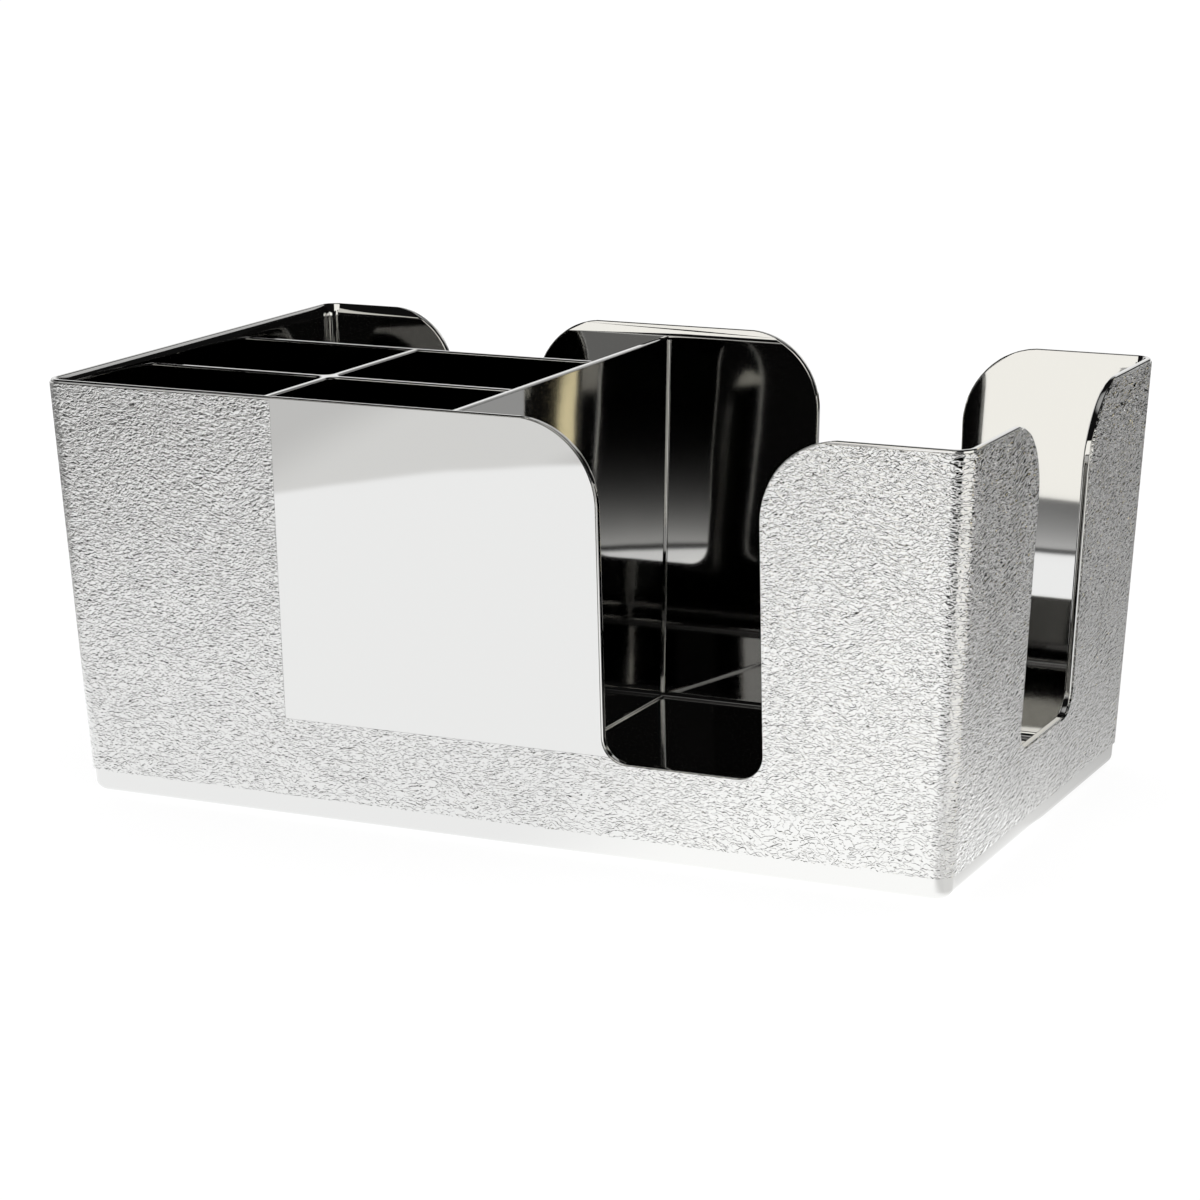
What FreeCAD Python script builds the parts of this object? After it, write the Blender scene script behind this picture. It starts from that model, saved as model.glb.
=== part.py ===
import FreeCAD, Part
import math
import os
import Sketcher

# Napkin and cutlery caddy, in millimetres. X runs along the long side, Y to the back, Z up.
# The origin is under the middle of the caddy, on the surface that its feet stand on.
# Levels are heights above the bottom of the tub, which the feet lift by foot_drop.

SIZES = {
    # The box that the caddy fills, at the top edge of its grained skin
    "overall_length": 240.0,
    "overall_width": 144.0,
    "shell_height": 105.5,
    "draft_angle": 3.0,
    "corner_round": 5.0,
    # The tub: walls, floor, the bare lip above the skin and the bare band below it
    "tub_wall": 1.7,
    "skin_thickness": 0.5,
    "floor_level": 4.0,
    "floor_thickness": 2.2,
    "floor_round": 1.5,
    "base_ring": 4.0,
    "base_round": 2.5,
    "rim_lip": 2.0,
    "rim_round": 0.4,
    "bare_band": 5.7,
    "lead_in_height": 3.3,
    "lead_in_depth": 0.6,
    # The U cut-outs of the napkin compartment, and the narrower notch behind the rear slot
    "reach_width": 40.2,
    "reach_level": 24.0,
    "reach_low_round": 6.0,
    "reach_high_round": 20.5,
    "notch_width": 26.2,
    "notch_level": 24.0,
    "notch_low_round": 6.0,
    "notch_high_round": 19.0,
    "skin_setback": 0.3,
    # The dividers
    "partition_place": -14.8,
    "row_place": 23.6,
    "divider_drop": 3.0,
    "divider_top": 1.7,
    "divider_root": 2.3,
    "divider_round": 0.5,
    "crossing_round": 2.6,
    # The polished face plate in the front skin
    "plate_left": -55.8,
    "plate_level": 25.4,
    "plate_gap": 0.15,
    # The rubber feet
    "foot_drop": 0.6,
    "foot_diameter": 12.0,
    "foot_chamfer": 0.5,
    "foot_margin": 2.0,
}

OVERRUN = 10.0  # how far a cut runs past the face that it opens
RIM_CLEARANCE = 0.05  # a flared cut-out's arc ends this far above the rim that it opens
NEAR = 1e-4  # how close a point lies to a place that it is meant to be at
EAST, NORTH, WEST, SOUTH = (1, 0), (0, 1), (-1, 0), (0, -1)
SIGNS = {"left": -1, "right": 1, "front": -1, "back": 1}

doc = FreeCAD.newDocument("caddy")
sheet = doc.addObject("Spreadsheet::Sheet", "sizes")
for row, (alias, number) in enumerate(SIZES.items(), start=1):
    sheet.set(f"A{row}", str(number))
    sheet.setAlias(f"A{row}", alias)
doc.recompute()


# Levels and distances, as expressions of the sheet

SLOPE = "tan(sizes.draft_angle)"
SKIN_TOP = "(sizes.shell_height - sizes.rim_lip)"
UNDERSIDE = "(sizes.floor_level - sizes.floor_thickness)"
DIVIDER_LEVEL = "(sizes.shell_height - sizes.divider_drop)"
TUB_INSIDE = "(sizes.skin_thickness + sizes.tub_wall)"


def half_length(level, inset):
    """Half the length of the drafted skin at a level, less an inset."""
    return f"(sizes.overall_length / 2 - ({SKIN_TOP} - {level}) * {SLOPE} - {inset})"


def half_width(level, inset):
    """Half the width of the drafted skin at a level, less an inset."""
    return f"(sizes.overall_width / 2 - ({SKIN_TOP} - {level}) * {SLOPE} - {inset})"


def divider_half(level):
    """Half the thickness of a divider, which tapers from its root to its top."""
    return "sizes.divider_root / 2" if level == "sizes.floor_level" else "sizes.divider_top / 2"


# The dividers' crossing and the notch lie in the middle of the cutlery part at its top, and the
# cut-outs in the middle of the napkin compartment at its floor
CELL_MIDDLE = f"((sizes.partition_place - {half_length(DIVIDER_LEVEL, TUB_INSIDE)}) / 2)"
NAPKIN_LEFT = "(sizes.partition_place + sizes.divider_root / 2)"
NAPKIN_MIDDLE = f"(({NAPKIN_LEFT} + {half_length('sizes.floor_level', TUB_INSIDE)}) / 2)"


# Sketches: a closed outline is a list of points, each with the arc that starts there or None


def sharp(across, along):
    return [(across, along, None)]


def rounded(across, along, radius, arrive, leave):
    """The two ends of the arc that rounds a square corner, between two directions of travel."""
    start_across = f"({across} + {-arrive[0]} * {radius})"
    start_along = f"({along} + {-arrive[1]} * {radius})"
    end_across = f"({across} + {leave[0]} * {radius})"
    end_along = f"({along} + {leave[1]} * {radius})"
    centre_across = f"({across} + {leave[0] - arrive[0]} * {radius})"
    centre_along = f"({along} + {leave[1] - arrive[1]} * {radius})"
    turns_left = arrive[0] * leave[1] - arrive[1] * leave[0] > 0
    arc = (radius, centre_across, centre_along, turns_left)
    return [(start_across, start_along, arc), (end_across, end_along, None)]


def number_of(expression):
    """What an expression of the sheet gives now."""
    value = sheet.evalExpression(expression)
    return float(getattr(value, "Value", value))


def bind(sketch, kind, *where, expression):
    """One dimension of a sketch, bound to an expression."""
    index = sketch.addConstraint(Sketcher.Constraint(kind, *where, number_of(expression)))
    sketch.setExpression(f"Constraints[{index}]", expression)


def draw_outline(sketch, outline):
    """Draws a closed outline with every point and radius bound to the sheet."""
    places = [FreeCAD.Vector(number_of(x), number_of(y), 0) for x, y, _ in outline]
    ends = []
    for index, (_, _, arc) in enumerate(outline):
        start, end = places[index], places[(index + 1) % len(outline)]
        if arc is None:
            sketch.addGeometry(Part.LineSegment(start, end), False)
            ends.append((1, 2))
            continue
        radius, centre_x, centre_y, turns_left = arc
        centre = FreeCAD.Vector(number_of(centre_x), number_of(centre_y), 0)
        first, last = (start, end) if turns_left else (end, start)
        begin = math.atan2(first.y - centre.y, first.x - centre.x)
        finish = math.atan2(last.y - centre.y, last.x - centre.x)
        finish += 2 * math.pi if finish < begin else 0
        circle = Part.Circle(centre, FreeCAD.Vector(0, 0, 1), number_of(radius))
        sketch.addGeometry(Part.ArcOfCircle(circle, begin, finish), False)
        ends.append((1, 2) if turns_left else (2, 1))
    for index, (x, y, arc) in enumerate(outline):
        after = (index + 1) % len(outline)
        closing = Sketcher.Constraint("Coincident", index, ends[index][1], after, ends[after][0])
        sketch.addConstraint(closing)
        bind(sketch, "DistanceX", index, ends[index][0], expression=x)
        bind(sketch, "DistanceY", index, ends[index][0], expression=y)
        if arc is not None:
            bind(sketch, "Radius", index, expression=arc[0])


def new_body(label, lift="sizes.foot_drop"):
    body = doc.addObject("PartDesign::Body", label)
    body.Label = label
    body.setExpression("Placement.Base.z", lift)
    return body


def plane_of(body, role):
    """One of the body's own origin planes."""
    return [feature for feature in body.Origin.OriginFeatures if feature.Role == role][0]


def new_sketch(body, name, plane, outline, offset=None, tilt=None):
    """A sketch on one of the body's own origin planes, moved along its normal by offset."""
    sketch = body.newObject("Sketcher::SketchObject", name)
    sketch.AttachmentSupport = (plane_of(body, plane), [""])
    sketch.MapMode = "FlatFace"
    if offset is not None:
        sketch.setExpression("AttachmentOffset.Base.z", offset)
    if tilt is not None:
        sketch.AttachmentOffset = FreeCAD.Placement(
            FreeCAD.Vector(0, 0, 0), FreeCAD.Rotation(FreeCAD.Vector(1, 0, 0), 1)
        )
        sketch.setExpression("AttachmentOffset.Rotation.Angle", tilt)
    draw_outline(sketch, outline)
    sketch.Visibility = False
    return sketch


def wedge(body, name, kind, levels, low_box, high_box):
    """A straight block between two levels; each box is its west, east, south and north."""
    feature = body.newObject(f"PartDesign::{kind}Wedge", name)
    feature.AttachmentSupport = (plane_of(body, "XZ_Plane"), [""])
    feature.MapMode = "FlatFace"
    for prefixes, (west, east, south, north) in ((("X", "Z"), low_box), (("X2", "Z2"), high_box)):
        feature.setExpression(f"{prefixes[0]}min", west)
        feature.setExpression(f"{prefixes[0]}max", east)
        feature.setExpression(f"{prefixes[1]}min", f"0 - {north}")
        feature.setExpression(f"{prefixes[1]}max", f"0 - {south}")
    feature.setExpression("Ymin", levels[0])
    feature.setExpression("Ymax", levels[1])
    doc.recompute()
    return feature


def dress_edges(body, name, kind, chosen, **sizes):
    """A fillet, or a chamfer of two distances, on the edges of the body that a test picks."""
    block = body.Tip
    names = [f"Edge{i}" for i, edge in enumerate(block.Shape.Edges, start=1) if chosen(edge)]
    if not names:
        raise RuntimeError(f"{name} finds no edge")
    feature = body.newObject(f"PartDesign::{kind}", name)
    feature.Base = (block, names)
    if kind == "Chamfer":
        feature.ChamferType = "Two distances"
    for key, expression in sizes.items():
        feature.setExpression(key, expression)
    doc.recompute()
    return feature


def pocket(body, name, sketch, length, reverse=False, both_ways=False):
    """A cut of a given length, checked to have removed material."""
    before = body.Shape.Volume
    feature = body.newObject("PartDesign::Pocket", name)
    feature.Profile = sketch
    feature.Reversed = reverse
    feature.Midplane = both_ways
    feature.setExpression("Length", length)
    doc.recompute()
    if not body.Shape.Volume < before:
        raise RuntimeError(f"{name} cuts nothing")
    return feature


# Outlines


def cutout_outline(kind, middle, setback):
    """A U cut-out that flares out to the rim, all of it moved back by a setback."""
    half = f"(sizes.{kind}_width / 2 + {setback})"
    left, right = f"({middle} - {half})", f"({middle} + {half})"
    low = f"(sizes.{kind}_level - {setback})"
    high = f"(sizes.shell_height + {RIM_CLEARANCE} - {setback})"
    low_round = f"(sizes.{kind}_low_round + {setback})"
    high_round = f"(sizes.{kind}_high_round - {setback})"
    far_left, far_right = f"({left} - {high_round} - 1)", f"({right} + {high_round} + 1)"
    above = f"(sizes.shell_height + {OVERRUN})"
    return (
        rounded(right, low, low_round, EAST, NORTH)
        + rounded(right, high, high_round, NORTH, EAST)
        + sharp(far_right, high)
        + sharp(far_right, above)
        + sharp(far_left, above)
        + sharp(far_left, high)
        + rounded(left, high, high_round, EAST, SOUTH)
        + rounded(left, low, low_round, SOUTH, EAST)
    )


def block_outline(left, right, low, high):
    return sharp(left, low) + sharp(right, low) + sharp(right, high) + sharp(left, high)


# Tests that pick edges


def points_of(edge):
    """The two ends of an edge and its middle."""
    first, last = edge.FirstParameter, edge.LastParameter
    return [edge.valueAt(parameter) for parameter in (first, (first + last) / 2, last)]


def climbs_from(level, inset):
    """Picks the edges that climb from the corners of the drafted box at a level."""
    height = number_of(level)
    across = number_of(half_length(level, inset))
    along = number_of(half_width(level, inset))

    def chosen(edge):
        foot = min(points_of(edge), key=lambda point: point.z)
        corner = FreeCAD.Vector(math.copysign(across, foot.x), math.copysign(along, foot.y), height)
        return edge.BoundBox.ZLength > 1 and foot.distanceToPoint(corner) < NEAR

    return chosen


def lies_at(level, inset=None, longer_than=0.0):
    """Picks the level edges at a height, of those only the ones within an inset and long enough."""
    height = number_of(level)

    def chosen(edge):
        points = points_of(edge)
        if any(abs(point.z - height) > NEAR for point in points) or edge.Length <= longer_than:
            return False
        if inset is None:
            return True
        inside_x = abs(points[1].x) < number_of(half_length(level, inset)) + NEAR
        return inside_x and abs(points[1].y) < number_of(half_width(level, inset)) + NEAR

    return chosen


def meets_wall(edge):
    """Picks a divider's short bottom edges against the walls of the tub."""
    floor = "sizes.floor_level"
    points = points_of(edge)
    if any(abs(point.z - number_of(floor)) > NEAR for point in points):
        return False
    at_end = abs(points[1].x) > number_of(half_length(floor, TUB_INSIDE)) - NEAR
    return at_end or abs(points[1].y) > number_of(half_width(floor, TUB_INSIDE)) - NEAR


# Steps that more than one piece shares


def drafted_block(body, name, kind, levels, inset):
    """The drafted box between two levels, added to a body or taken from it."""
    boxes = []
    for level in levels:
        across, along = half_length(level, inset), half_width(level, inset)
        boxes.append((f"(0 - {across})", across, f"(0 - {along})", along))
    wedge(body, name, kind, levels, *boxes)


def round_corners(body, name, level, inset):
    """Rounds the four corners of a drafted box, which climb from a level."""
    radius = f"sizes.corner_round - {inset}"
    dress_edges(body, name, "Fillet", climbs_from(level, inset), Radius=radius)


def cut_reaches(body, setback):
    """The cut-outs of the napkin compartment and the notch, through the walls that have them."""
    through = f"(sizes.overall_width + {2 * OVERRUN})"
    reach = cutout_outline("reach", NAPKIN_MIDDLE, setback)
    sketch = new_sketch(body, "reach_front_and_back", "XZ_Plane", reach)
    pocket(body, "front_and_back_reach", sketch, through, both_ways=True)
    sketch = new_sketch(body, "reach_right", "YZ_Plane", cutout_outline("reach", "0", setback))
    pocket(body, "right_reach", sketch, "sizes.overall_length", reverse=True)
    notch = cutout_outline("notch", CELL_MIDDLE, setback)
    sketch = new_sketch(body, "notch_back", "XZ_Plane", notch)
    pocket(body, "back_notch", sketch, "sizes.overall_width")


def divider(body, name, box_at):
    """A divider on the floor that tapers from its root to its top."""
    levels = ("sizes.floor_level", DIVIDER_LEVEL)
    wedge(body, name, "Additive", levels, *[box_at(level) for level in levels])


def finish_divider(body):
    """Rounds the top edges, and the bottom edges that sit in the rounding of the floor."""
    dress_edges(body, "floor_corners", "Fillet", meets_wall, Radius="sizes.floor_round")
    top = lies_at(DIVIDER_LEVEL, longer_than=number_of("sizes.divider_top") * 1.5)
    dress_edges(body, "top_edges", "Fillet", top, Radius="sizes.divider_round")


# Pieces


def make_inner_tub():
    """The smooth tub: drafted walls, a raised floor, a standing ring and a lead-in at the rim."""
    body = new_body("inner_tub")
    top, floor, skin = "sizes.shell_height", "sizes.floor_level", "sizes.skin_thickness"
    drafted_block(body, "outside", "Additive", ("0", top), skin)
    round_corners(body, "outside_corners", "0", skin)
    dress_edges(body, "base_edge", "Fillet", lies_at("0"), Radius="sizes.base_round")
    dress_edges(body, "rim_edge", "Fillet", lies_at(top), Radius="sizes.rim_round")
    drafted_block(body, "inside", "Subtractive", (floor, top), TUB_INSIDE)
    round_corners(body, "inside_corners", floor, TUB_INSIDE)
    lead_in = {"Size": "sizes.lead_in_depth", "Size2": "sizes.lead_in_height"}
    dress_edges(body, "lead_in", "Chamfer", lies_at(top, TUB_INSIDE), **lead_in)
    within = lies_at(floor, TUB_INSIDE)
    dress_edges(body, "floor_edge", "Fillet", within, Radius="sizes.floor_round")
    ring = "(sizes.skin_thickness + sizes.base_ring)"
    across, along = half_length("0", ring), half_width("0", ring)
    outline = block_outline(f"(0 - {across})", across, f"(0 - {along})", along)
    recess = new_sketch(body, "recess", "XY_Plane", outline)
    pocket(body, "base_recess", recess, UNDERSIDE, reverse=True)
    cut_reaches(body, "0")
    return body


def make_textured_sleeve():
    """The grained skin around the tub, cut away behind the face plate and at every cut-out."""
    body = new_body("textured_sleeve")
    band, skin = "sizes.bare_band", "sizes.skin_thickness"
    drafted_block(body, "outside", "Additive", (band, SKIN_TOP), "0")
    drafted_block(body, "inside", "Subtractive", (band, SKIN_TOP), skin)
    round_corners(body, "inside_corners", band, skin)
    round_corners(body, "outside_corners", band, "0")
    cut_reaches(body, "sizes.skin_setback")
    above = f"(sizes.shell_height + {OVERRUN})"
    window = block_outline("sizes.plate_left", NAPKIN_MIDDLE, "sizes.plate_level", above)
    sketch = new_sketch(body, "plate_window", "XZ_Plane", window)
    pocket(body, "plate_opening", sketch, "sizes.overall_width", reverse=True)
    return body


def make_face_plate():
    """The bare polished plate that fills the opening in the front of the sleeve."""
    body = new_body("front_face_plate")
    leaning = "/ cos(sizes.draft_angle)"
    low = f"((sizes.plate_level + sizes.plate_gap) {leaning})"
    high = f"((sizes.shell_height - sizes.skin_setback) {leaning})"
    outline = block_outline("(sizes.plate_left + sizes.plate_gap)", NAPKIN_MIDDLE, low, high)
    wall = half_width("0", "sizes.skin_thickness")
    sketch = new_sketch(body, "plate", "XZ_Plane", outline, wall, "sizes.draft_angle")
    pad = body.newObject("PartDesign::Pad", "sheet")
    pad.Profile = sketch
    pad.setExpression("Length", "sizes.skin_thickness * cos(sizes.draft_angle)")
    doc.recompute()
    reach = cutout_outline("reach", NAPKIN_MIDDLE, "sizes.skin_setback")
    edge = new_sketch(body, "reach_edge", "XZ_Plane", reach)
    pocket(body, "reach", edge, "sizes.overall_width", reverse=True)
    return body


def make_napkin_partition():
    """The divider across the whole width, between the napkins and the cutlery."""
    body = new_body("napkin_partition")

    def box_at(level):
        half, wall = divider_half(level), half_width(level, TUB_INSIDE)
        west, east = f"(sizes.partition_place - {half})", f"(sizes.partition_place + {half})"
        return west, east, f"(0 - {wall})", wall

    divider(body, "blade", box_at)
    finish_divider(body)
    return body


def row_box_at(place, level):
    """A divider along X, from the left wall to the napkin partition."""
    half, wall = divider_half(level), half_length(level, TUB_INSIDE)
    east = f"(sizes.partition_place - {half})"
    return f"(0 - {wall})", east, f"({place} - {half})", f"({place} + {half})"


def make_rear_divider():
    """The divider in front of the rear slot."""
    body = new_body("rear_slot_divider")
    divider(body, "blade", lambda level: row_box_at("sizes.row_place", level))
    finish_divider(body)
    return body


def make_cell_cross():
    """The two crossed dividers that part the cutlery cells, with a rounded crossing."""
    body = new_body("cell_cross_divider")
    row = "(0 - sizes.row_place)"

    def cross_box_at(level):
        half, wall = divider_half(level), half_width(level, TUB_INSIDE)
        north = f"(sizes.row_place - {half})"
        return f"({CELL_MIDDLE} - {half})", f"({CELL_MIDDLE} + {half})", f"(0 - {wall})", north

    divider(body, "long_blade", lambda level: row_box_at(row, level))
    divider(body, "cross_blade", cross_box_at)
    half = number_of("sizes.divider_root / 2")
    crossing = FreeCAD.Vector(number_of(CELL_MIDDLE), number_of(row), number_of("sizes.floor_level"))

    def at_crossing(edge):
        foot = min(points_of(edge), key=lambda point: point.z)
        return edge.BoundBox.ZLength > 1 and foot.distanceToPoint(crossing) < 1.5 * half

    radius = "sizes.crossing_round"
    dress_edges(body, "crossing_corners", "Fillet", at_crossing, Radius=radius)
    finish_divider(body)
    return body


def make_foot(side, end):
    """A rubber pad in a corner of the recess under the floor, with a chamfered sole."""
    body = new_body(f"foot_{side}_{end}", "0")
    corner = "(sizes.skin_thickness + sizes.base_ring + sizes.foot_margin + sizes.foot_diameter / 2)"
    body.setExpression("Placement.Base.x", f"{SIGNS[end]} * {half_length('0', corner)}")
    body.setExpression("Placement.Base.y", f"{SIGNS[side]} * {half_width('0', corner)}")
    tall = f"(sizes.foot_drop + {UNDERSIDE})"
    radius, chamfer = "(sizes.foot_diameter / 2)", "sizes.foot_chamfer"
    profile = (
        sharp("0", "0")
        + sharp(f"({radius} - {chamfer})", "0")
        + sharp(radius, chamfer)
        + sharp(radius, tall)
        + sharp("0", tall)
    )
    sketch = new_sketch(body, "profile", "XZ_Plane", profile)
    turned = body.newObject("PartDesign::Revolution", "pad")
    turned.Profile = sketch
    turned.ReferenceAxis = (sketch, ["V_Axis"])
    turned.Angle = 360
    doc.recompute()
    return body


pieces = [
    make_inner_tub(),
    make_textured_sleeve(),
    make_face_plate(),
    make_napkin_partition(),
    make_rear_divider(),
    make_cell_cross(),
]
pieces += [make_foot(side, end) for side in ("front", "back") for end in ("left", "right")]
doc.recompute()

for item in doc.Objects:
    if "Invalid" in item.State or "Error" in item.State:
        raise RuntimeError(f"{item.Name} did not build: {item.State}")
for piece in pieces:
    shape = piece.Shape
    if shape.isNull() or not shape.isValid() or len(shape.Solids) != 1:
        raise RuntimeError(f"{piece.Label} is not one sound solid")

os.makedirs("parts", exist_ok=True)
for piece in pieces:
    piece.Shape.exportStep(f"parts/{piece.Label}.step")
    box = piece.Shape.BoundBox
    print(f"{piece.Label}: {piece.Shape.Volume:.0f} mm3, "
          f"x {box.XMin:.2f} to {box.XMax:.2f}, y {box.YMin:.2f} to {box.YMax:.2f}, "
          f"z {box.ZMin:.2f} to {box.ZMax:.2f}")
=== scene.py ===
import math

import bmesh
import bpy
from mathutils import Matrix, Vector


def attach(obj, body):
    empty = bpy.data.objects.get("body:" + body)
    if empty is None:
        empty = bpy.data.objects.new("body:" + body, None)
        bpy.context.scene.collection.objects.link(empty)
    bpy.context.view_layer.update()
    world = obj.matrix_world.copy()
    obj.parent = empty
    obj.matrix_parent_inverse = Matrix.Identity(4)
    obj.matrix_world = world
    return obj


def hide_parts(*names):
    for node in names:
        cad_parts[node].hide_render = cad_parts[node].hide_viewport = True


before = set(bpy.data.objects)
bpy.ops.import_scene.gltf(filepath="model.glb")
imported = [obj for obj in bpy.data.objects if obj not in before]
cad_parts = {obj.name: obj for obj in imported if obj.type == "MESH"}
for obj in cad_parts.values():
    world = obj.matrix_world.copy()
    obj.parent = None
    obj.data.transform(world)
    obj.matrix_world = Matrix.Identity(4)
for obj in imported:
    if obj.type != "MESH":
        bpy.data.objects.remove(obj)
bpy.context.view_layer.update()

MM = 0.001

# The camera stands to the right of the front, a little above the rim
CAMERA_AZIMUTH = 24.804
CAMERA_ELEVATION = 13.068
CAMERA_ROLL = -0.198
CAMERA_DISTANCE = 893.1
CAMERA_TARGET = (-2.51, 0.0, 46.24)
LENS_RATIO = 3522.6 / 1200
SENSOR_WIDTH = 36.0

# A round white pool of painted light lies under the object; in millimetres
LIT_POOL_MIDDLE = (-36.0, -160.0)
LIT_POOL_RADIUS = 227.0

PLATING = (0.6, 0.597, 0.584, 1.0)


def linked(name, data):
    thing = bpy.data.objects.new(name, data)
    bpy.context.collection.objects.link(thing)
    return thing


def make_camera():
    azimuth, elevation, roll = (
        math.radians(angle) for angle in (CAMERA_AZIMUTH, CAMERA_ELEVATION, CAMERA_ROLL)
    )
    view = Vector((
        -math.sin(azimuth) * math.cos(elevation),
        math.cos(azimuth) * math.cos(elevation),
        -math.sin(elevation),
    ))
    right = view.cross(Vector((0, 0, 1))).normalized()
    up = right.cross(view)
    turned_right = right * math.cos(roll) + up * math.sin(roll)
    turned_up = up * math.cos(roll) - right * math.sin(roll)
    camera = linked("camera", bpy.data.cameras.new("camera"))
    camera.data.sensor_width = SENSOR_WIDTH
    camera.data.lens = SENSOR_WIDTH * LENS_RATIO
    camera.data.clip_start, camera.data.clip_end = 0.01, 20
    place = (Vector(CAMERA_TARGET) - view * CAMERA_DISTANCE) * MM
    turn = Matrix((turned_right, turned_up, -view)).transposed().to_4x4()
    camera.matrix_world = Matrix.Translation(place) @ turn
    bpy.context.scene.camera = camera


class Nodes:
    """Short calls for building a node tree."""

    def __init__(self, tree):
        self.tree = tree

    def add(self, kind, inputs=(), **settings):
        node = self.tree.nodes.new(kind)
        for name, value in settings.items():
            setattr(node, name, value)
        for key, value in dict(inputs).items():
            if isinstance(value, bpy.types.NodeSocket):
                self.tree.links.new(value, node.inputs[key])
            else:
                node.inputs[key].default_value = value
        return node

    def math(self, operation, *values):
        node = self.tree.nodes.new("ShaderNodeMath")
        node.operation = operation
        for socket, value in zip(node.inputs, values):
            if isinstance(value, bpy.types.NodeSocket):
                self.tree.links.new(value, socket)
            else:
                socket.default_value = value
        return node.outputs[0]

    def times(self, *values):
        """The product of the values."""
        product = values[0]
        for value in values[1:]:
            product = self.math("MULTIPLY", product, value)
        return product

    def blend(self, share, first, second):
        """The first value where share is 0, and the second where it is 1."""
        return self.math("ADD", self.times(share, second),
                         self.times(self.math("SUBTRACT", 1.0, share), first))

    def step(self, value, low, high, start=0.0, end=1.0):
        """A soft step from start to end while value goes from low to high."""
        node = self.add("ShaderNodeMapRange", {
            "Value": value, "From Min": low, "From Max": high, "To Min": start, "To Max": end,
        }, interpolation_type="SMOOTHSTEP")
        return node.outputs["Result"]

    def mix(self, factor, first, second):
        node = self.add("ShaderNodeMix", data_type="RGBA")
        for socket, value in ((0, factor), (6, first), (7, second)):
            if isinstance(value, bpy.types.NodeSocket):
                self.tree.links.new(value, node.inputs[socket])
            else:
                node.inputs[socket].default_value = value
        return node.outputs[2]


def new_material(name):
    material = bpy.data.materials.new(name)
    material.use_nodes = True
    material.node_tree.nodes.clear()
    return material, Nodes(material.node_tree)


# Node groups that several finishes share


def group(name, inputs, outputs):
    tree = bpy.data.node_groups.new(name, "ShaderNodeTree")
    for label, kind, value in inputs:
        socket = tree.interface.new_socket(label, in_out="INPUT", socket_type=kind)
        if value is not None:
            socket.default_value = value
    for label, kind in outputs:
        tree.interface.new_socket(label, in_out="OUTPUT", socket_type=kind)
    nodes = Nodes(tree)
    return tree, nodes, nodes.add("NodeGroupInput").outputs, nodes.add("NodeGroupOutput").inputs


def make_waviness_group():
    """The slow hills that a moulded and plated wall has, as a height."""
    tree, nodes, given, out = group(
        "moulded_waviness",
        [("Place", "NodeSocketVector", None), ("Spacing", "NodeSocketFloat", 40.0)],
        [("Height", "NodeSocketFloat")],
    )
    noise = nodes.add("ShaderNodeTexNoise", {
        "Vector": given["Place"], "Scale": given["Spacing"], "Detail": 1.0, "Roughness": 0.4,
    })
    tree.links.new(noise.outputs["Fac"], out["Height"])
    return tree


def make_grain_group():
    """A fine leather grain: small pads between crossing grooves, as a height from 0 to 1."""
    tree, nodes, given, out = group(
        "leather_grain",
        [
            ("Place", "NodeSocketVector", None),
            ("Spacing", "NodeSocketFloat", 1050.0),
            ("Groove", "NodeSocketFloat", 0.07),
            ("Groove Share", "NodeSocketFloat", 0.85),
        ],
        [("Height", "NodeSocketFloat")],
    )
    drift = nodes.add("ShaderNodeTexNoise", {
        "Vector": given["Place"], "Scale": 45.0, "Detail": 1.0,
    })
    pushed = nodes.add("ShaderNodeVectorMath", {0: drift.outputs["Color"], 1: (0.5,) * 3},
                       operation="SUBTRACT").outputs[0]
    pushed = nodes.add("ShaderNodeVectorMath", {0: pushed, "Scale": 0.006},
                       operation="SCALE").outputs[0]
    place = nodes.add("ShaderNodeVectorMath", {0: given["Place"], 1: pushed},
                      operation="ADD").outputs[0]
    stretched = nodes.add("ShaderNodeMapping", {
        "Vector": place, "Scale": (0.62, 0.3, 1.05), "Rotation": (0.3, -0.3, 0.0),
    }).outputs[0]
    pads = nodes.add("ShaderNodeTexNoise", {
        "Vector": stretched, "Scale": given["Spacing"], "Detail": 0.0, "Distortion": 0.7,
    }).outputs["Fac"]
    from_groove = nodes.math("ABSOLUTE", nodes.math("SUBTRACT", pads, 0.5))
    grooves = nodes.step(from_groove, 0.0, given["Groove"], 1.0, 0.0)
    deeper = nodes.add("ShaderNodeTexNoise", {
        "Vector": place, "Scale": 420.0, "Detail": 0.0,
    }).outputs["Fac"]
    grooves = nodes.times(grooves, nodes.step(deeper, 0.36, 0.64, -0.3, -1.0))
    fine = nodes.add("ShaderNodeTexNoise", {
        "Vector": stretched, "Scale": nodes.math("MULTIPLY", given["Spacing"], 1.45), "Detail": 0.0,
        "Distortion": 0.6,
    }).outputs["Fac"]
    share = given["Groove Share"]
    height = nodes.blend(share, fine, grooves)
    tree.links.new(height, out["Height"])
    return tree


WAVINESS = make_waviness_group()
GRAIN = make_grain_group()


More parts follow.
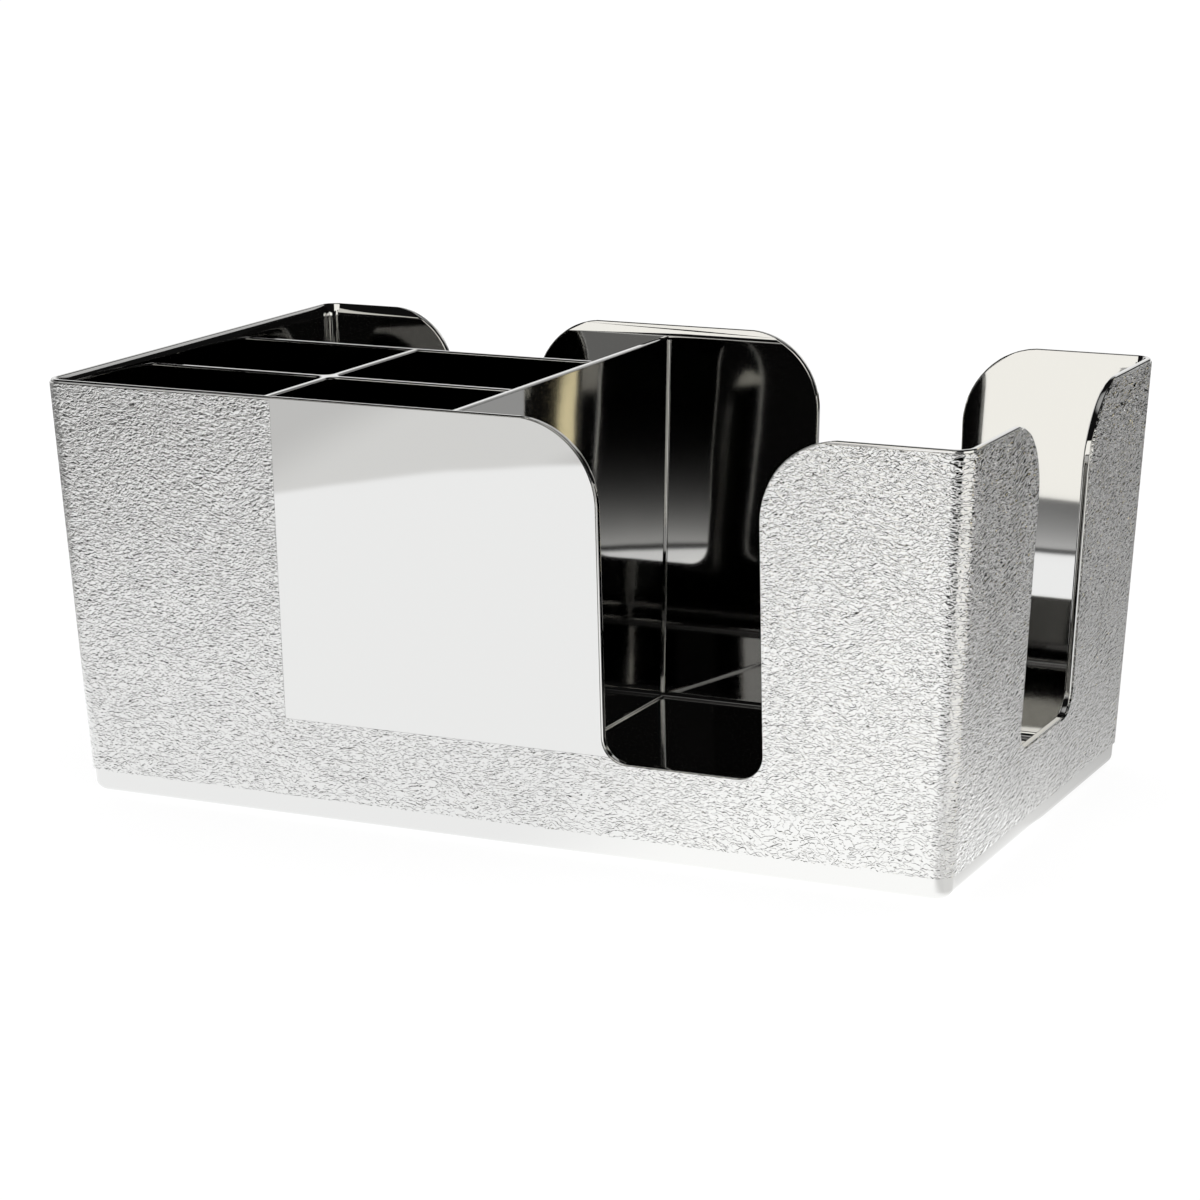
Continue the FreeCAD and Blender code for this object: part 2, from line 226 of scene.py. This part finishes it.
def plated(name, roughness, wave_height, grain_height=0.0, groove_share=0.85):
    """Bright plating; heights are in millimetres."""
    material, nodes = new_material(name)
    place = nodes.add("ShaderNodeTexCoord").outputs["Object"]
    shader = nodes.add("ShaderNodeBsdfPrincipled", {
        "Base Color": PLATING, "Metallic": 1.0, "Roughness": roughness,
    })
    waves = nodes.add("ShaderNodeGroup", node_tree=WAVINESS)
    nodes.tree.links.new(place, waves.inputs["Place"])
    bump = nodes.add("ShaderNodeBump", {
        "Height": waves.outputs["Height"], "Distance": wave_height * MM, "Strength": 1.0,
    })
    if grain_height:
        grain = nodes.add("ShaderNodeGroup", node_tree=GRAIN)
        grain.inputs["Groove Share"].default_value = groove_share
        nodes.tree.links.new(place, grain.inputs["Place"])
        # The ends carry a stronger relief than the front and the back
        facing = nodes.add("ShaderNodeTexCoord").outputs["Normal"]
        facing = nodes.add("ShaderNodeSeparateXYZ", {0: facing}).outputs["X"]
        ends = nodes.step(nodes.math("ABSOLUTE", facing), 0.6, 0.97, 1.0, 2.2)
        height = nodes.times(grain.outputs["Height"], ends)
        bump = nodes.add("ShaderNodeBump", {
            "Height": height, "Distance": grain_height * MM, "Strength": 1.0,
            "Normal": bump.outputs["Normal"],
        })
    nodes.tree.links.new(bump.outputs["Normal"], shader.inputs["Normal"])
    output = nodes.add("ShaderNodeOutputMaterial")
    nodes.tree.links.new(shader.outputs[0], output.inputs["Surface"])
    return material


def rubber():
    material, nodes = new_material("foot_rubber")
    shader = nodes.add("ShaderNodeBsdfPrincipled", {
        "Base Color": (0.03, 0.03, 0.03, 1), "Roughness": 0.7,
    })
    output = nodes.add("ShaderNodeOutputMaterial")
    nodes.tree.links.new(shader.outputs[0], output.inputs["Surface"])
    return material


# Pieces


def refined(node, name, material, bevel, corner=60.0, segments=2, reshape=None):
    """A copy of a CAD node with merged faces and softly rounded edges."""
    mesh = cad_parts[node].data.copy()
    mesh.name = name
    piece = linked(name, mesh)
    work = bmesh.new()
    work.from_mesh(mesh)
    bmesh.ops.remove_doubles(work, verts=work.verts, dist=0.001 * MM)
    bmesh.ops.dissolve_limit(work, angle_limit=math.radians(0.3), verts=work.verts,
                             edges=work.edges)
    if reshape:
        reshape(work)
    for face in work.faces:
        face.smooth = True
    for edge in work.edges:
        edge.smooth = bool(bevel) or edge.calc_face_angle(0.0) < math.radians(corner)
    work.to_mesh(mesh)
    work.free()
    if "custom_normal" in mesh.attributes:
        mesh.attributes.remove(mesh.attributes["custom_normal"])
    mesh.materials.clear()
    mesh.materials.append(material)
    if bevel:
        rounding = piece.modifiers.new("rounding", "BEVEL")
        rounding.width = bevel * MM
        rounding.segments = segments
        weighted = "bevel_weight_edge" in mesh.attributes
        rounding.limit_method = "WEIGHT" if weighted else "ANGLE"
        rounding.angle_limit = math.radians(corner)
        rounding.use_clamp_overlap = False
    normals = piece.modifiers.new("even_normals", "WEIGHTED_NORMAL")
    normals.keep_sharp = True
    normals.weight = 60
    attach(piece, "root")
    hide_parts(node)
    return piece


# Middles of the cut-outs along their walls, in millimetres: the front, the right end, the back
CUTOUT_MIDDLES = {"front": [49.47], "right": [0.0], "back": [49.47, -66.27], "left": []}


def wall_of(place):
    if place.x > 0.112 and abs(place.y) < 0.06:
        return "right"
    if place.x < -0.112 and abs(place.y) < 0.06:
        return "left"
    return "front" if place.y < 0 else "back"


def raise_to_rim(work):
    """The grain runs up to just under the rim, and round the tops of the cut-outs."""
    top = max(vert.co.z for vert in work.verts)
    for vert in work.verts:
        if vert.co.z < top - 0.02 * MM:
            continue
        vert.co.z += 1.1 * MM
        wall = wall_of(vert.co)
        along = vert.co.y if wall == "right" else vert.co.x
        near = [middle for middle in CUTOUT_MIDDLES[wall] if 20 < abs(along / MM - middle) < 60]
        if not near or (abs(vert.co.x) > 0.112 and abs(vert.co.y) > 0.06):
            continue
        shift = math.copysign(2.8 * MM, along / MM - min(near, key=lambda m: abs(along / MM - m)))
        if wall == "right":
            vert.co.y += shift
        else:
            vert.co.x += shift


def depth_in_wall(place):
    """How far a place lies outside the tub's inner face, in millimetres."""
    x, y, z = place / MM
    face = 113.63 + 0.0523 * (z - 24.6)
    if z > 102.8:
        face += (z - 102.8) * 0.6 / 3.3
    return max(abs(x) - face, abs(y) + 48.0 - face)


def open_outwards(work):
    """The cut-outs are a little wider outside, and their inner edges are well rounded."""
    work.normal_update()
    moves = []
    weight = work.edges.layers.float.new("bevel_weight_edge")
    for edge in work.edges:
        if len(edge.link_faces) != 2 or edge.calc_face_angle(0.0) < math.radians(60):
            continue
        edge[weight] = 0.25
        if any(abs(depth_in_wall(vert.co)) > 0.12 or vert.co.z < 24 * MM for vert in edge.verts):
            continue
        flat = min(edge.link_faces, key=lambda face: abs(depth_in_wall(face.calc_center_median())))
        lip = [face for face in edge.link_faces if face is not flat][0]
        if lip.normal.z > 0.9:
            continue
        edge[weight] = 0.6
        for vert in edge.verts:
            moves.append((vert, lip.normal.copy()))
    shifts = {}
    for vert, normal in moves:
        shifts.setdefault(vert, []).append(normal)
    for vert, normals in shifts.items():
        normal = sum(normals, Vector()).normalized()
        vert.co += normal * (0.2 * MM * (1 - max(0.0, normal.z)))


def cover_gap(work):
    """The plate laps over the left and lower edges of its window in the grain."""
    left = min(vert.co.x for vert in work.verts)
    low = min(vert.co.z for vert in work.verts)
    for vert in work.verts:
        if vert.co.z < low + 0.3 * MM:
            vert.co.z -= 0.12 * MM
        slope = 0.05 * (vert.co.z - low)
        if vert.co.x < left + 1.5 * MM + slope:
            vert.co.x -= 0.12 * MM


def tub_face(z):
    """Half the inner width of the tub at a height, in millimetres."""
    return 64.343 + 0.0523 * z


def cove(name, start, end, side_a, side_b, radius, material, steps=6):
    """A concave fillet along the corner of two faces; places in millimetres."""
    side_a, side_b = Vector(side_a), Vector(side_b)
    rings = []
    for corner in (Vector(start), Vector(end)):
        middle = corner + (side_a + side_b) * radius
        ring = [corner - (side_a + side_b) * 0.05]
        for step in range(steps + 1):
            turn = math.pi / 2 * step / steps
            ring.append(middle - (side_b * math.cos(turn) + side_a * math.sin(turn)) * radius)
        rings.append(ring)
    count = len(rings[0])
    faces = [(k, (k + 1) % count, count + (k + 1) % count, count + k) for k in range(count)]
    faces += [tuple(reversed(range(count))), tuple(range(count, 2 * count))]
    mesh = bpy.data.meshes.new(name)
    mesh.from_pydata([place * MM for ring in rings for place in ring], [], faces)
    work = bmesh.new()
    work.from_mesh(mesh)
    bmesh.ops.recalc_face_normals(work, faces=work.faces)
    for face in work.faces:
        face.smooth = len(face.verts) == 4
    for edge in work.edges:
        edge.smooth = edge.calc_face_angle(0.0) < math.radians(40)
    work.to_mesh(mesh)
    work.free()
    mesh.materials.append(material)
    piece = linked(name, mesh)
    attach(piece, "root")
    return piece


def make_coves(material):
    """Moulded coves where the napkin partition meets the walls and the floor."""
    for side, face_low, face_high in (("napkin", -13.66, -13.94), ("cutlery", -15.94, -15.66)):
        out = 1.0 if side == "napkin" else -1.0
        for end, sign in (("front", -1.0), ("back", 1.0)):
            cove(f"cove_{side}_{end}", (face_low, sign * tub_face(5.6), 5.6),
                 (face_high, sign * tub_face(102.2), 102.2), (out, 0, 0), (0, -sign, 0), 0.7,
                 material)
    cove("cove_napkin_floor", (-13.65, -63.6, 4.6), (-13.65, 63.6, 4.6), (1, 0, 0), (0, 0, 1), 0.7,
         material)


def stage_card(name, corners, shader_of):
    mesh = bpy.data.meshes.new(name)
    mesh.from_pydata([Vector(corner) * MM for corner in corners], [], [tuple(range(len(corners)))])
    card = linked(name, mesh)
    material, nodes = new_material(name)
    shader_of(nodes)
    mesh.materials.append(material)
    return card


def glow(strength, colour=(1, 1, 1, 1)):
    def build(nodes):
        light = nodes.add("ShaderNodeEmission", {"Color": colour, "Strength": strength})
        output = nodes.add("ShaderNodeOutputMaterial")
        nodes.tree.links.new(light.outputs[0], output.inputs["Surface"])
    return build


# Across x, the lit table at the left gives way here to the rest of the table
TABLE_EDGE = (-135.0, -70.0)


def table_at_left(nodes, x, leftwards):
    """The lit table at the left, its painted light a little brighter close to the lit pool."""
    return nodes.times(nodes.step(leftwards, *TABLE_EDGE, 1.0, 0.0),
                       nodes.step(x, -430.0, -270.0, 0.35, 1.0),
                       nodes.step(x, -235.0, -195.0, 0.84, 1.05))


def table_in_front(nodes, x, beyond):
    """Painted shade: the table in front darkens away from the lit pool, but for one patch of
    painted light.
    """
    pace = nodes.math("MAXIMUM", nodes.math("MULTIPLY_ADD", x, 1 / 200, 1.3), 0.3)
    pace = nodes.math("MINIMUM", pace, 1.4)
    darkening = nodes.math("EXPONENT", nodes.times(beyond, pace, -1 / 120))
    patch = nodes.times(nodes.step(x, -45.0, -20.0), nodes.step(x, 170.0, 110.0),
                        nodes.step(beyond, 420.0, 300.0, 0.0, 1.4))
    return nodes.math("MAXIMUM", nodes.times(darkening, 0.8), patch)


def table_behind(nodes, x, reach, beyond):
    """The paler table behind, and off the right end, its painted light fading away from the lit
    pool.
    """
    rim = LIT_POOL_RADIUS
    near = nodes.math("EXPONENT", nodes.times(beyond, -1 / 75))
    off_end = nodes.times(nodes.math("MULTIPLY_ADD", near, 0.6, 0.42),
                          nodes.step(reach, rim + 515, rim + 600, 1.0, 0.08))
    behind = nodes.step(reach, rim + 20, rim + 800, 1.1, 0.1)
    return nodes.blend(nodes.step(x, -60.0, 140.0), behind, off_end)


def dark_ring_at_rim(nodes, x, y, reach):
    """A dark ring painted just outside the front of the lit pool: 0 in the ring and 1 elsewhere."""
    outside = nodes.step(reach, LIT_POOL_RADIUS + 9, LIT_POOL_RADIUS + 17)
    clear_of_ring = nodes.math("MAXIMUM", outside, nodes.step(y, -280.0, -240.0))
    off_middle = nodes.math("ABSOLUTE", nodes.math("ADD", x, -40.0))
    return nodes.math("MAXIMUM", clear_of_ring, nodes.step(off_middle, 75.0, 65.0))


def beside_right_end(nodes, x, y, beyond, table):
    """Round the right front corner the table has painted light, and then comes a dark stretch of
    painted shade.
    """
    turn = nodes.math("ARCTAN2", nodes.math("ADD", y, 60.0), nodes.math("ADD", x, -110.0))
    outwards = nodes.math("ADD", nodes.math("MULTIPLY_ADD", y, -0.3, -140.0), x)
    shade = nodes.times(nodes.step(turn, math.radians(50), math.radians(66)),
                        nodes.step(outwards, -10.0, 45.0))
    lit = nodes.times(nodes.step(turn, math.radians(54), math.radians(67), 1.25, 0.0),
                      nodes.step(turn, math.radians(-50), math.radians(-30)),
                      nodes.step(beyond, 300.0, 200.0),
                      nodes.step(x, 122.0, 150.0, 0.85, 1.0))
    shaded = nodes.times(table, nodes.math("MULTIPLY_ADD", shade, -0.88, 1.0))
    return nodes.math("MAXIMUM", shaded, lit)


def lit_pool_light(nodes, x):
    """Painted light: white, and brightest under the right half of the front."""
    brighter = nodes.times(nodes.step(x, -5.0, 50.0), nodes.step(x, 130.0, 108.0))
    return nodes.mix(brighter, (1.37, 1.38, 1.4, 1), (1.58, 1.59, 1.6, 1))


def floor_shader(nodes):
    """White to the camera; mirrors see painted light and shade: a bright lit pool on a table whose
    painted light fades outwards.
    """
    place = nodes.add("ShaderNodeNewGeometry").outputs["Position"]
    place = nodes.add("ShaderNodeVectorMath", {0: place, "Scale": 1000.0},
                      operation="SCALE").outputs[0]
    split = nodes.add("ShaderNodeSeparateXYZ", {0: place}).outputs
    x, y = split["X"], split["Y"]
    reach = nodes.add("ShaderNodeVectorMath", {0: place, 1: (*LIT_POOL_MIDDLE, 0.0)},
                      operation="DISTANCE").outputs["Value"]
    beyond = nodes.math("MAXIMUM", nodes.math("SUBTRACT", reach, LIT_POOL_RADIUS), 0.0)
    leftwards = nodes.math("ADD", x, nodes.step(y, -480.0, -415.0, 40.0, 0.0))
    table = nodes.blend(nodes.step(y, -300.0, -110.0, 1.0, 0.0),
                        table_behind(nodes, x, reach, beyond), table_in_front(nodes, x, beyond))
    table = nodes.times(table, dark_ring_at_rim(nodes, x, y, reach))
    table = beside_right_end(nodes, x, y, beyond, table)
    table = nodes.math("ADD", nodes.times(table, nodes.step(leftwards, *TABLE_EDGE)),
                       table_at_left(nodes, x, leftwards))
    # The round pool of painted light, but for its edge beside the right end
    by_the_end = nodes.times(nodes.step(x, 112.0, 120.0), nodes.step(y, -125.0, -80.0))
    on_lit_pool = nodes.times(
        nodes.step(reach, LIT_POOL_RADIUS - 8, LIT_POOL_RADIUS, 1.0, 0.0),
        nodes.math("SUBTRACT", 1.0, by_the_end),
    )
    seen = nodes.mix(on_lit_pool, table, lit_pool_light(nodes, x))
    mirrored = nodes.add("ShaderNodeEmission", {"Color": seen, "Strength": 1.0})
    plain = nodes.add("ShaderNodeEmission", {"Strength": 0.86})
    diffuse = nodes.add("ShaderNodeBsdfDiffuse", {"Color": (0.25, 0.25, 0.25, 1)})
    direct = nodes.add("ShaderNodeAddShader", {0: plain.outputs[0], 1: diffuse.outputs[0]})
    path = nodes.add("ShaderNodeLightPath").outputs
    mixed = nodes.add("ShaderNodeMixShader", {
        0: path["Is Glossy Ray"], 1: direct.outputs[0], 2: mirrored.outputs[0],
    })
    output = nodes.add("ShaderNodeOutputMaterial")
    nodes.tree.links.new(mixed.outputs[0], output.inputs["Surface"])


def make_world():
    """White to the camera, and a pale backdrop in a dark room to everything else."""
    world = bpy.data.worlds.new("studio")
    bpy.context.scene.world = world
    world.use_nodes = True
    world.node_tree.nodes.clear()
    nodes = Nodes(world.node_tree)
    split = nodes.add("ShaderNodeSeparateXYZ", {
        0: nodes.add("ShaderNodeTexCoord").outputs["Generated"],
    }).outputs
    behind = nodes.step(split["Y"], -0.2, 0.2)
    left = nodes.step(split["X"], 0.36, 0.2)
    low = nodes.step(split["Z"], 0.3, 0.65, 1.04, 0.0)
    backdrop = nodes.times(behind, low, left)
    overhead = nodes.step(split["Z"], 0.9, 0.97, 0.0, 0.5)
    room = nodes.math("ADD", nodes.math("ADD", backdrop, overhead), 0.008)
    path = nodes.add("ShaderNodeLightPath").outputs
    even = nodes.math("MULTIPLY", path["Is Diffuse Ray"], 0.72)
    strength = nodes.math("MAXIMUM", nodes.math("MULTIPLY", room, path["Is Glossy Ray"]), even)
    strength = nodes.math("MAXIMUM", strength, path["Is Camera Ray"])
    light = nodes.add("ShaderNodeBackground", {"Color": (1, 1, 1, 1), "Strength": strength})
    output = nodes.add("ShaderNodeOutputWorld")
    nodes.tree.links.new(light.outputs[0], output.inputs["Surface"])


def standing_card(name, start, end, low, high, strength, colour):
    """An upright light card over a line on the floor, which only reflections show."""
    (x0, y0), (x1, y1) = start, end
    card = stage_card(name, [(x0, y0, low), (x1, y1, low), (x1, y1, high), (x0, y0, high)],
                      glow(strength, colour))
    card.visible_camera = False
    card.visible_shadow = False
    card.visible_diffuse = False


def make_stage():
    far = 4000.0
    stage_card("floor", [(-far, -far, 0), (far, -far, 0), (far, far, 0), (-far, far, 0)],
               floor_shader)
    cream = (1.0, 0.985, 0.94, 1)
    # In front, high in front, off the right end, far behind, and one narrow warm post
    standing_card("front_reflector", (-150, -598), (-10, -577), 0, 215, 1.43, cream)
    standing_card("high_reflector", (-430, -640), (220, -545), 205, 420, 1.43, cream)
    standing_card("side_reflector", (330, -235), (330, 45), 0, 150, 1.45, cream)
    standing_card("far_reflector", (480, 1250), (700, 1130), 190, 420, 0.7, (1, 1, 1, 1))
    standing_card("beige_post", (362, 569.5), (376, 562.5), 30, 190, 2.6, (1.0, 0.88, 0.56, 1))


make_camera()
make_world()
make_stage()
smooth = plated("polished_plating", 0.027, 0.02)
grained = plated("grained_plating", 0.05, 0.02, grain_height=0.44, groove_share=0.55)
dark_rubber = rubber()
refined("inner_tub", "tub", smooth, 1.0, segments=4, reshape=open_outwards)
refined("textured_sleeve", "sleeve", grained, 0.0, reshape=raise_to_rim)
refined("front_face_plate", "face_plate", smooth, 0.05, segments=1,
        reshape=cover_gap)
refined("napkin_partition", "partition", smooth, 0.0)
refined("rear_slot_divider", "rear_divider", smooth, 0.0)
refined("cell_cross_divider", "cell_cross", smooth, 0.0)
make_coves(smooth)
for side in ("front", "back"):
    for end in ("left", "right"):
        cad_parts[f"foot_{side}_{end}"].material_slots[0].material = dark_rubber

bpy.context.scene.view_settings.view_transform = "Standard"
